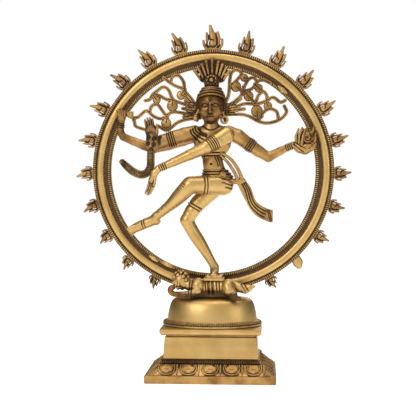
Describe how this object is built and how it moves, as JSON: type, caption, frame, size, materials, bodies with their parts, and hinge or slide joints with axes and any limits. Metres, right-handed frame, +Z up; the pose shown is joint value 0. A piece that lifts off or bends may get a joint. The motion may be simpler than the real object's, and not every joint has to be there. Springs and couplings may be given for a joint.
{
  "type": "nataraja statue",
  "caption": "Cast brass statue of a dancing figure inside a ring of flames, standing on a dwarf and a domed, stepped pedestal with a lotus base.",
  "frame": {"origin": "middle of the lotus base's underside, where the statue meets the table", "axes": "+Z up; the figure faces -Y; +X is to the right of someone who faces the statue"},
  "size_m": [0.3162, 0.104, 0.4006],
  "materials": {
    "polished_brass": "buffed brass with dark wax left in the hollows",
    "cast_brass": "as-cast brass, brushed by hand, with brown patina",
    "dark_brass": "chased brass with dark brown patina in the cuts",
    "steel": "zinc-plated steel, dulled"
  },
  "bodies": {
    "root": {"lotus_base": "cast_brass", "plinth_block": "polished_brass", "cornice_slab": "polished_brass", "dome_seat": "polished_brass", "clamp_bar": "steel", "tie_stud_left": "steel", "tie_washer_left": "steel", "tie_nut_left": "steel", "tie_stud_right": "steel", "tie_washer_right": "steel", "tie_nut_right": "steel", "flame_ring": "polished_brass", "flame_01": "cast_brass", "flame_02": "cast_brass", "flame_03": "cast_brass", "flame_04": "cast_brass", "flame_05": "cast_brass", "flame_06": "cast_brass", "flame_07": "cast_brass", "flame_08": "cast_brass", "flame_09": "cast_brass", "flame_10": "cast_brass", "flame_11": "cast_brass", "flame_12": "cast_brass", "flame_13": "cast_brass", "flame_14": "cast_brass", "flame_15": "cast_brass", "flame_16": "cast_brass", "flame_17": "cast_brass", "flame_18": "cast_brass", "flame_19": "cast_brass", "blank_lug": "cast_brass", "flame_20": "cast_brass", "ring_foot": "cast_brass", "ring_screw_left": "steel", "ring_screw_right": "steel", "torso": "cast_brass", "head": "cast_brass", "crown": "dark_brass", "raised_leg": "polished_brass", "standing_leg": "polished_brass", "belt": "dark_brass", "blessing_arm": "cast_brass", "drum": "cast_brass", "drum_arm": "cast_brass", "fire_arm": "cast_brass", "crossing_arm": "polished_brass", "cobra": "dark_brass", "hand_flame": "dark_brass", "sash": "cast_brass", "earring_left": "cast_brass", "earring_right": "cast_brass", "hair_fan_left": "cast_brass", "hair_fan_right": "cast_brass", "dwarf": "cast_brass", "dwarf_snake": "dark_brass", "foot_stud": "steel", "foot_washer": "steel", "foot_nut": "steel"}
  },
  "joints": []
}
